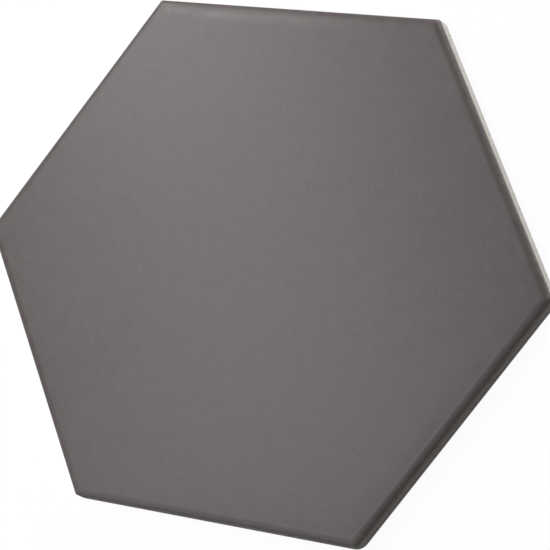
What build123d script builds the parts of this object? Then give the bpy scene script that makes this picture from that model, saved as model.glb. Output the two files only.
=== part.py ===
from build123d import *
import math
import os

# A glazed hexagon tile, pressed and fired in one piece, lying on its back.
# The origin is the middle of the back, at the height of the floor.
# +X runs to a corner, +Y across two flats and +Z out of the glazed face.

# Driving dimensions, in millimetres.
# The foot is the widest place, at the top of the arris that runs round the back.
# From there each side leans in up to the rim, where the cushion shoulder ends.
# The shoulder is a little fuller than a quarter of an ellipse. Its fullness is the share of its
# width and of its drop that each handle of the curve takes up, and 0.55 would make the ellipse.
across_flats = 175.0
thickness = 7.8
side_lean = 0.9
shoulder_width = 3.2
shoulder_drop = 1.85
shoulder_fullness = 0.66
corner_radius = 2.4
back_arris = 0.4
cutter_clearance = 5.0

# A hexagon's sides, and the turn from one side to the next.
side_count = 6
side_turn = 360 / side_count

# Levels and distances that follow from them.
foot_reach = across_flats / 2
rim_reach = foot_reach - side_lean
rim_height = thickness - shoulder_drop
face_reach = rim_reach - shoulder_width
lean_angle = math.degrees(math.atan(side_lean / (rim_height - back_arris)))
arris_angle = 45


def leaning_body():
    """The hexagon with rounded corners and leaning sides, and the arris round its back."""
    outline = RegularPolygon(foot_reach, side_count, major_radius=False)
    outline = fillet(outline.vertices(), corner_radius)
    foot = Pos(0, 0, back_arris) * outline
    sides = extrude(foot, thickness - back_arris, taper=lean_angle)
    arris = extrude(foot, back_arris, dir=(0, 0, -1), taper=arris_angle)
    return sides + arris


def shoulder_cutter():
    """What the cushion shoulder takes away along the side that faces +X."""
    above = thickness + cutter_clearance
    beyond = rim_reach + cutter_clearance
    cushion = Bezier(
        (face_reach, thickness),
        (face_reach + shoulder_fullness * shoulder_width, thickness),
        (rim_reach, rim_height + shoulder_fullness * shoulder_drop),
        (rim_reach, rim_height),
    )
    outside = Polyline(
        (face_reach, thickness),
        (face_reach, above),
        (beyond, above),
        (beyond, rim_height),
        (rim_reach, rim_height),
    )
    section = Plane.XZ * make_face([cushion, outside])
    return extrude(section, across_flats, both=True)


tile = leaning_body()
cutter = shoulder_cutter()
for side in range(side_count):
    tile -= Rot(0, 0, (side + 0.5) * side_turn) * cutter

os.makedirs("parts", exist_ok=True)
export_step(tile, "parts/hexagon_tile.step")
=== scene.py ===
import math

import bpy
from mathutils import Matrix, Vector, noise


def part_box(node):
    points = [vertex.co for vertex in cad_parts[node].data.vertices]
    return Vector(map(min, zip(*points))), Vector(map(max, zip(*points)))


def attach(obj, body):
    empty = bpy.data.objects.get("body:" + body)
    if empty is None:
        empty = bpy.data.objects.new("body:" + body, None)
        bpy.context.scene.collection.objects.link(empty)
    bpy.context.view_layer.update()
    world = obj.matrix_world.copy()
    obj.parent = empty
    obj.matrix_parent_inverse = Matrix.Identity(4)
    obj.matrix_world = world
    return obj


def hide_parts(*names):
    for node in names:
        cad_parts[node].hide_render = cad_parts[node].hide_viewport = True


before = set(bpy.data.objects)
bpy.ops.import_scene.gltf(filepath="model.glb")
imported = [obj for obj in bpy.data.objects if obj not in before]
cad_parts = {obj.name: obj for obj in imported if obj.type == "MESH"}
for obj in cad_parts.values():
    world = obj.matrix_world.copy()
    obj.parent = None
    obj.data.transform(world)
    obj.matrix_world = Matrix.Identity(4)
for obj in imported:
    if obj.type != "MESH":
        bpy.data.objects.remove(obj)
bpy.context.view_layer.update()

# The tile is one fired piece of pale stoneware, dry-pressed in a hexagonal die, so its sides lean in
# from the foot and its back has a small arris. A dark satin glaze, sprayed on and fired with the
# body, covers the face and the cushion shoulder and runs out just below the rim.
MM = 0.001
solid_low, solid_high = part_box("hexagon_tile")

# The sizes are in millimetres, and the tile keeps a hair inside the solid's box.
hair = 0.002
across_flats = (solid_high.y - solid_low.y) / MM - 2 * hair
thickness = solid_high.z / MM - hair
side_lean = 0.9
shoulder_width = 3.2
shoulder_drop = 1.85
shoulder_fullness = 0.66
back_arris = 0.4

# Sizes that differ from corner to corner, and from side to side, go round from the corner on +X.
# The play of the face's edge is how far it stands out, at the two ends of each side.
foot_corner_radii = (2.5, 3.2, 2.5, 2.5, 2.2, 4.8)
rim_corner_radii = (1.0, 0.5, 1.0, 1.0, 1.4, 1.0)
face_corner_radius = 1.8
face_edge_play = ((0.0, 0.25), (-0.8, -0.45), (0.0, 0.0), (-0.2, -0.2), (0.0, 0.0), (0.4, 0.0))
corner_count = 6
corner_turn = math.tau / corner_count

foot_reach = across_flats / 2
rim_reach = foot_reach - side_lean
face_reach = rim_reach - shoulder_width
rim_height = thickness - shoulder_drop


def corner_arc(reach, corner, radius):
    """The rounding of one corner of a hexagon."""
    corner_steps = 12
    middle = corner * corner_turn
    centre = Vector((math.cos(middle), math.sin(middle))) * (reach - radius) / math.cos(corner_turn / 2)
    angles = [middle + corner_turn * (step / corner_steps - 0.5) for step in range(corner_steps + 1)]
    return [centre + Vector((math.cos(angle), math.sin(angle))) * radius for angle in angles]


def ease(value):
    """0 to 1 along a soft step."""
    value = min(1.0, max(0.0, value))
    return value * value * (3 - 2 * value)


def hexagon(reach, corner_radii, slack):
    """Points once round a hexagon with rounded corners, from the corner on +X.

    Where there is slack, a side stands out or in by its play, which fades away by the corners."""
    side_steps, crowding, fade = 84, 0.1, 0.12
    arcs = [corner_arc(reach, corner, radius) for corner, radius in enumerate(corner_radii)]
    points = []
    for corner, arc in enumerate(arcs):
        points += arc
        end = arcs[(corner + 1) % corner_count][0]
        facing = (corner + 0.5) * corner_turn
        outward = Vector((math.cos(facing), math.sin(facing)))
        first, last = face_edge_play[corner]
        for step in range(1, side_steps):
            share = step / side_steps
            along = share - crowding * math.sin(math.tau * share)
            play = (first + (last - first) * along) * ease(along / fade) * ease((1 - along) / fade)
            points.append(arc[-1].lerp(end, along) + outward * play * slack)
    return points


def half_section():
    """Rings from the middle of the face, over the shoulder and down the side, to the middle of the back.

    Each is its reach, its height, its corners' radii and how freely the melted glaze wanders there.
    The shoulder is a cubic curve, level where it leaves the face and upright at the rim."""
    face_rings, cushion_rings, side_rings, back_rings, slack_width = 40, 28, 14, 22, 6.0
    rings = []
    for step in range(1, face_rings):
        share = math.sin(math.pi / 2 * step / face_rings)
        reach = face_reach * share
        slack = max(0.0, 1 - (face_reach - reach) / slack_width)
        rings.append((reach, thickness, [face_corner_radius * share] * corner_count, slack * slack))
    for step in range(cushion_rings + 1):
        along = step / cushion_rings
        back = 1 - along
        out = 3 * along * back * back * shoulder_fullness + 3 * along * along * back + along ** 3
        stay = back ** 3 + 3 * along * back * back + 3 * along * along * back * shoulder_fullness
        height = rim_height + shoulder_drop * stay
        radii = [face_corner_radius + (radius - face_corner_radius) * out for radius in rim_corner_radii]
        rings.append((face_reach + shoulder_width * out, height, radii, back * back))
    for step in range(1, side_rings + 1):
        share = step / side_rings
        height = rim_height + (back_arris - rim_height) * share
        radii = [rim + (foot - rim) * share for rim, foot in zip(rim_corner_radii, foot_corner_radii)]
        rings.append((rim_reach + side_lean * share, height, radii, 0.0))
    bed_reach = foot_reach - back_arris
    for step in range(back_rings):
        share = 1 - step / back_rings
        radii = [(radius - back_arris) * share for radius in foot_corner_radii]
        rings.append((bed_reach * share, 0.0, radii, 0.0))
    return rings


def glaze_wander(x, y):
    """How far the glaze lies below its true height.

    It lies in long slow waves, a little fuller beside one side than beside the next, with two sags."""
    slow = noise.noise(Vector((x, y, 3.1)) * 0.045)
    quick = noise.noise(Vector((x, y, 9.7)) * 0.16)
    fuller_beside = max(0.0, x) * y / (x * x + y * y + 1.0)
    fall = 0.06 + 0.05 * slow + 0.035 * quick - 0.12 * fuller_beside
    for sag_x, sag_y, width, depth in ((-45.5, 84.5, 3.4, 0.16), (-30.0, 86.0, 2.6, 0.06)):
        away = ((x - sag_x) ** 2 + (y - sag_y) ** 2) / width ** 2
        fall += depth * math.exp(-away)
    return max(0.0, fall)


rings = half_section()
knots = [Vector((0, 0, thickness))]
for reach, height, corner_radii, slack in rings:
    for point in hexagon(reach, corner_radii, slack):
        knots.append(Vector((point.x, point.y, height - slack * glaze_wander(point.x, point.y))))
knots.append(Vector((0, 0, 0)))
round_count = (len(knots) - 2) // len(rings)
faces = []
last_ring = 1 + (len(rings) - 1) * round_count
for spot in range(round_count):
    beside = (spot + 1) % round_count
    faces.append((0, 1 + spot, 1 + beside))
    for ring in range(len(rings) - 1):
        inner = 1 + ring * round_count
        outer = inner + round_count
        faces.append((inner + spot, outer + spot, outer + beside, inner + beside))
    faces.append((last_ring + spot, len(knots) - 1, last_ring + beside))
tile_mesh = bpy.data.meshes.new("glazed_tile")
tile_mesh.from_pydata([knot * MM for knot in knots], [], faces)
tile_mesh.polygons.foreach_set("use_smooth", [True] * len(faces))
arris_angle = math.radians(30)
tile_mesh.set_sharp_from_angle(angle=arris_angle)
tile = bpy.data.objects.new("glazed_tile", tile_mesh)
bpy.context.scene.collection.objects.link(tile)
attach(tile, "root")
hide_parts("hexagon_tile")


class Wire:
    """One socket of the finish in hand. Sums written with wires add their own Math nodes to it."""

    tree = None

    def __init__(self, socket):
        self.socket = socket

    @classmethod
    def node(cls, kind, settings, inputs, output=0):
        """Adds a node: its type, its settings, what its sockets take, and which socket it gives."""
        made = cls.tree.nodes.new(kind)
        for name, value in settings.items():
            setattr(made, name, value)
        for name, value in inputs.items():
            socket = made.inputs[name] if isinstance(name, int) else cls.find(made.inputs, name)
            if isinstance(value, Wire):
                cls.tree.links.new(value.socket, socket)
            else:
                socket.default_value = value
        if not made.outputs:
            return None
        return cls(made.outputs[output] if isinstance(output, int) else cls.find(made.outputs, output))

    @staticmethod
    def find(sockets, name):
        return next(socket for socket in sockets if socket.name == name and socket.enabled)

    def other(self, name):
        return Wire(self.find(self.socket.node.outputs, name))

    def maths(self, operation, first, second):
        return Wire.node("ShaderNodeMath", {"operation": operation}, {0: first, 1: second})

    def __add__(self, value):
        return self.maths("ADD", self, value)

    def __radd__(self, value):
        return self.maths("ADD", value, self)

    def __sub__(self, value):
        return self.maths("SUBTRACT", self, value)

    def __rsub__(self, value):
        return self.maths("SUBTRACT", value, self)

    def __mul__(self, value):
        return self.maths("MULTIPLY", self, value)

    def __rmul__(self, value):
        return self.maths("MULTIPLY", value, self)

    def __truediv__(self, value):
        return self.maths("DIVIDE", self, value)


def rise(value, start, end):
    """0 below the start and 1 above the end, with a soft step between them."""
    return Wire.node("ShaderNodeMapRange", {"interpolation_type": "SMOOTHSTEP"},
                     {"Value": value, "From Min": start, "From Max": end})


def clouds(where, scale, detail=2.0, roughness=0.5):
    """Soft noise about nought, from about -0.5 to 0.5."""
    return Wire.node("ShaderNodeTexNoise", {},
                     {"Vector": where, "Scale": scale, "Detail": detail, "Roughness": roughness}) - 0.5


def blend(share, first, second):
    """One colour that goes over into another as the share grows."""
    return Wire.node("ShaderNodeMix", {"data_type": "RGBA"},
                     {"Factor": share, "A": first, "B": second}, "Result")


def shade(colour, strength):
    """A colour made lighter or darker by a wire."""
    return Wire.node("ShaderNodeVectorMath", {"operation": "SCALE"}, {0: colour, "Scale": strength})


glaze_colour = (0.0617, 0.0512, 0.0492, 1)
thin_glaze_colour = (0.25, 0.22, 0.20, 1)
stoneware_colour = (0.742, 0.725, 0.66, 1)
speck_colour = (0.42, 0.36, 0.29, 1)

finish = bpy.data.materials.new("satin_glaze_on_stoneware")
finish.use_nodes = True
finish.node_tree.nodes.clear()
Wire.tree = finish.node_tree
place = Wire.node("ShaderNodeTexCoord", {}, {}, "Object")
split_place = Wire.node("ShaderNodeSeparateXYZ", {}, {"Vector": place}, "Z")
height = split_place / MM

# The heights where the glaze runs out, and where it is thin enough for the body to show through. On the
# side toward -Y, which faces away from the lamps, the dark glaze is carried down almost to the foot, and
# a little lower than elsewhere on the two sides beside it: painted shade on those sides. It is made
# thicker over the far shoulder, which darkens it there as painted shade too, and it draws back from the
# corners a little.
bare_below, covered_above = 4.5, 5.5
thin_below, full_above = 5.6, 7.45
dry_below, satin_above = 5.9, 7.4
painted_shade_run, far_painted_shade, corner_pull = 3.9, 0.7, 0.2
drift = clouds(place, 90.0)
grain = clouds(place, 1300.0, 3.0, 0.6)
painted_shade_side = Vector((0.0, -1.0, 0.0))
facing = Wire.node("ShaderNodeTexCoord", {}, {}, "Normal")
shade_facing = Wire.node("ShaderNodeVectorMath", {"operation": "DOT_PRODUCT"},
                    {0: facing, 1: painted_shade_side}, "Value")
from_middle = Wire.node("ShaderNodeVectorMath", {"operation": "LENGTH"}, {0: place}, "Value") / MM
# Painted shade: the dark glaze comes lower on the sides toward -Y and lies thicker over the far shoulder.
coat_with_painted_shade = height + painted_shade_run * rise(shade_facing, 0.6, 0.9) + far_painted_shade * rise(0.0 - shade_facing, 0.45, 0.7)
coat_with_painted_shade = coat_with_painted_shade - corner_pull * rise(from_middle, 96.5, 99.5)
beside_painted_shade = rise(shade_facing, 0.2, 0.5)
reaching = coat_with_painted_shade + beside_painted_shade * (2.7 - 0.5 * height)
glazed = rise(reaching + 0.6 * drift + 1.8 * grain, bare_below, covered_above)
thinned = 1 - rise(coat_with_painted_shade + 0.5 * beside_painted_shade + 0.7 * drift + 2.6 * grain, thin_below, full_above)

# The glaze has faint mottling, finest specks, and small pits and pimples from the kiln. In the glaze's
# colour the pits are painted darker and their lips and the pimples painted lighter: painted shade and
# highlight.
mottle = clouds(place, 75.0, 3.0)
bloom = clouds(place, 330.0, 2.0)
ripple = clouds(place, 620.0, 2.0)


def kiln_marks_and_shade(cells, smallest, spread, share):
    """One pit or pimple in some of the cells: below nought in a pit, above it on its lip or a pimple.

    Cells are how many go to a metre. The sizes are shares of a cell."""
    away = Wire.node("ShaderNodeTexVoronoi", {"voronoi_dimensions": "2D"},
                     {"Vector": place, "Scale": cells}, "Distance")
    chance = Wire.node("ShaderNodeSeparateColor", {}, {"Color": away.other("Color")}, "Red")
    across = away / (smallest + spread * chance.other("Blue")) + 0.9 * bloom + 2.0 * ripple
    middle = 1 - rise(across, 0.15, 0.75)
    lip = rise(across, 0.4, 0.7) * (1 - rise(across, 0.75, 1.1))
    pit = rise(chance.other("Green"), 0.6, 0.65)
    here = 1 - rise(chance + 0.8 * drift, share - 0.02, share)
    return ((1.5 - 2.0 * pit) * middle + 0.5 * pit * lip) * here


small_marks_and_shade = kiln_marks_and_shade(cells=160.0, smallest=0.05, spread=0.1, share=0.65)
large_marks_and_shade = kiln_marks_and_shade(cells=60.0, smallest=0.03, spread=0.03, share=0.4)
marks_and_painted_shade = small_marks_and_shade + 0.8 * large_marks_and_shade

# Along one side the melted glaze has gathered in a smoother bead, with small smoother pools by a
# corner, where the glaze is also painted lighter as a painted highlight. Each pool is its place, its
# length, its width and its strength.
bead_x = split_place.other("X") / MM
bead_y = split_place.other("Y") / MM
bead = (0.2 + 0.8 * rise(bead_x, -42.0, -24.0)) * (1 - rise(bead_x, 5.0, 35.0))
bead = bead * rise(bead_y + 1.2 * drift, 79.6, 82.4)
bead = bead * (1 - rise(bead_y + 1.2 * drift, 82.6, 84.4))
pools_and_painted_highlight = 0
for pool_x, pool_y, pool_long, pool_wide, pool_highlight in (
        (-46.8, 83.1, 1.6, 1.6, 1.0), (-41.9, 83.0, 3.2, 0.9, 0.7), (-29.3, 82.4, 3.4, 0.9, 0.5)):
    away_x = (bead_x - pool_x) / pool_long
    away_y = (bead_y - pool_y) / pool_wide
    away = away_x * away_x + away_y * away_y + 3.0 * bloom + 3.0 * ripple
    # Painted highlight: each pool lightens the glaze's tone by its strength, as well as smoothing it.
    pools_and_painted_highlight = pools_and_painted_highlight + pool_highlight * (1 - rise(away, -0.2, 1.9))

rim_zone = 1 - rise(height, 7.2, 7.78)
shoulder_zone = 1 - rise(height, 7.4, 7.79)
glaze_tone = 1 + 0.4 * mottle + 0.44 * bloom + (0.18 + 0.5 * rim_zone) * grain
# Painted shade and highlight: the marks darken the glaze in the pits and lighten it on their lips and the
# pimples.
glaze_tone = glaze_tone + 0.11 * marks_and_painted_shade + 0.36 * pools_and_painted_highlight
glaze_coat = shade(blend(thinned, glaze_colour, thin_glaze_colour), glaze_tone)

# The bare body has pressing streaks along the sides, granules, a few iron specks, and a faint
# parting line, where the die's upper punch met its wall.
along_side = Wire.node("ShaderNodeVectorMath", {"operation": "MULTIPLY"}, {0: place, 1: (130, 130, 2300)})
streaks = clouds(along_side, 1.0, 3.0, 0.6)
granules = clouds(place, 1300.0, 4.0, 0.7)
speck_cell = Wire.node("ShaderNodeTexVoronoi", {}, {"Vector": place, "Scale": 620.0}, "Distance")
specks = 1 - rise(speck_cell, 0.1, 0.2)
parting = rise(height, 1.95, 2.1) * (1 - rise(height, 2.15, 2.3))
body_tone = 1 + 0.45 * streaks + 1.5 * granules + 0.1 * drift - 0.1 * parting
body_skin = shade(blend(0.6 * specks, stoneware_colour, speck_colour), body_tone)

waves = 0.06 + 0.05 * mottle + (0.006 + 0.05 * shoulder_zone) * bloom + 0.2 * rim_zone * ripple
pressed = 0.13 * granules + 0.03 * streaks - 0.02 * specks - 0.03 * parting
relief = glazed * (waves + 0.027 * marks_and_painted_shade) + (1 - glazed) * pressed

# Height in millimetres goes into the bump, and the glaze is satin while the body is dry.
bump = Wire.node("ShaderNodeBump", {}, {"Height": relief, "Distance": MM, "Strength": 1.0}, "Normal")
colour = blend(glazed, body_skin, glaze_coat)

smoother = 0.065 * bead + 0.03 * pools_and_painted_highlight
satin = Wire.node("ShaderNodeBsdfPrincipled", {},
                  {"Base Color": colour, "Roughness": 0.41 + 0.06 * mottle + 0.02 * bloom - smoother,
                   "IOR": 1.42, "Normal": bump})
dry = Wire.node("ShaderNodeBsdfPrincipled", {},
                {"Base Color": colour, "Roughness": 0.9, "Specular IOR Level": 0.3, "Normal": bump})
sheen = glazed * (0.1 + 0.9 * rise(height + 0.7 * drift + 1.8 * grain, dry_below, satin_above))
skin = Wire.node("ShaderNodeMixShader", {}, {"Fac": sheen, 1: dry, 2: satin})
Wire.node("ShaderNodeOutputMaterial", {}, {"Surface": skin})
tile_mesh.materials.append(finish)

# The floor is a white studio sheet, with a window under the tile through which its back can be seen.
# Looked at, or seen in the glaze, it is as white as the paper, with the tile's soft shadow, and to
# other light it is a quiet grey. It is a ring of strips out to its far edge, which is in metres.
floor_far, floor_drop, window_lap = 8.0, 0.02, 0.7
window = hexagon(foot_reach - window_lap, [radius - window_lap for radius in foot_corner_radii], 0.0)
floor_points = [(point.x * MM, point.y * MM, -floor_drop * MM) for point in window]
for point in window:
    outward = point.normalized() * floor_far
    floor_points.append((outward.x, outward.y, -floor_drop * MM))
floor_faces = []
for spot in range(len(window)):
    beside = (spot + 1) % len(window)
    floor_faces.append((spot, len(window) + spot, len(window) + beside, beside))
floor_mesh = bpy.data.meshes.new("floor")
floor_mesh.from_pydata(floor_points, [], floor_faces)
floor = bpy.data.objects.new("floor", floor_mesh)
bpy.context.scene.collection.objects.link(floor)


def seen():
    """1 for what the camera, a gloss or a clear body looks at, and 0 for other light."""
    ray = Wire.node("ShaderNodeLightPath", {}, {}, "Is Camera Ray")
    either = ray.maths("MAXIMUM", ray, ray.other("Is Glossy Ray"))
    return ray.maths("MAXIMUM", either, ray.other("Is Transmission Ray"))


sheet = bpy.data.materials.new("white_studio_sheet")
sheet.use_nodes = True
sheet.node_tree.nodes.clear()
Wire.tree = sheet.node_tree
grey = Wire.node("ShaderNodeBsdfDiffuse", {}, {"Color": (0.262, 0.244, 0.258, 1)})
shadowed = Wire.node("ShaderNodeBsdfDiffuse", {}, {"Color": (0.055, 0.055, 0.055, 1)})
glow = Wire.node("ShaderNodeEmission", {}, {"Color": (0.95, 0.95, 0.95, 1), "Strength": 1.0})
white = Wire.node("ShaderNodeAddShader", {}, {0: shadowed, 1: glow})
Wire.node("ShaderNodeOutputMaterial", {},
          {"Surface": Wire.node("ShaderNodeMixShader", {}, {"Fac": seen(), 1: grey, 2: white})})
floor_mesh.materials.append(sheet)

# The studio's light is a low softbox beside the tile, a key and a top lamp above it, and small fills
# around. The lamp underneath lights only the back, through the sheet's window. Each is its azimuth
# and elevation in degrees, its distance and width in metres, its watts and its cloth's colour.
lamp_lift = 0.05
white_cloth = (1.0, 1.0, 1.0)
for name, azimuth, elevation, distance, size, watts, cloth in (
        ("side_softbox", 70, 7, 1.15, 0.2, 8.68, white_cloth),
        ("low_side", 30, 8, 0.75, 0.35, 0.28, (1.0, 0.92, 1.02)),
        ("back_left", 131, 35, 0.45, 0.2, 0.89, white_cloth),
        ("key", 147, 57, 0.65, 0.2, 1.32, white_cloth),
        ("top", 195, 71, 0.45, 0.2, 0.71, white_cloth),
        ("fill", 231, 37, 0.45, 0.4, 0.66, white_cloth),
        ("underneath", 250, -60, 0.8, 0.5, 7.0, white_cloth)):
    lamp_data = bpy.data.lights.new(name, "AREA")
    lamp_data.shape = "SQUARE"
    lamp_data.size = size
    lamp_data.energy = watts
    lamp_data.color = cloth
    lamp = bpy.data.objects.new(name, lamp_data)
    bpy.context.scene.collection.objects.link(lamp)
    across, up = math.radians(azimuth), math.radians(elevation)
    toward = Vector((math.cos(across) * math.cos(up), math.sin(across) * math.cos(up), math.sin(up)))
    lamp.location = toward * distance + Vector((0, 0, lamp_lift))
    lamp.rotation_mode = "QUATERNION"
    lamp.rotation_quaternion = toward.to_track_quat("Z", "Y")
    lamp.visible_camera = False

# The room around is as white as the paper too where it is looked at or seen in the glaze, and it
# gives no other light.
world = bpy.data.worlds.new("studio")
bpy.context.scene.world = world
world.use_nodes = True
world.node_tree.nodes.clear()
Wire.tree = world.node_tree
dim_air = Wire.node("ShaderNodeBackground", {}, {"Color": (1, 1, 1, 1), "Strength": 0.0})
white_air = Wire.node("ShaderNodeBackground", {}, {"Color": (1, 1, 1, 1), "Strength": 1.0})
Wire.node("ShaderNodeOutputWorld", {},
          {"Surface": Wire.node("ShaderNodeMixShader", {}, {"Fac": seen(), 1: dim_air, 2: white_air})})

# The camera looks down on the tile from above and beyond its corner on +X, at the photo's right, and
# is rolled as the photo is.
camera_data = bpy.data.cameras.new("camera")
camera_data.sensor_width = 36.0
camera_data.lens = 106.141
camera = bpy.data.objects.new("camera", camera_data)
bpy.context.scene.collection.objects.link(camera)
camera.location = (0.192794, -0.052113, 0.507669)
aim = Vector((0.005632, -0.002994, 0.0))
roll = math.radians(66.857)
forward = (aim - camera.location).normalized()
level_right = forward.cross(Vector((0, 0, 1))).normalized()
level_up = level_right.cross(forward)
camera_up = level_up * math.cos(roll) + level_right * math.sin(roll)
camera.rotation_mode = "QUATERNION"
axes = Matrix((forward.cross(camera_up), camera_up, -forward)).transposed()
camera.rotation_quaternion = axes.to_quaternion()
bpy.context.scene.camera = camera
bpy.context.scene.view_settings.view_transform = "Standard"
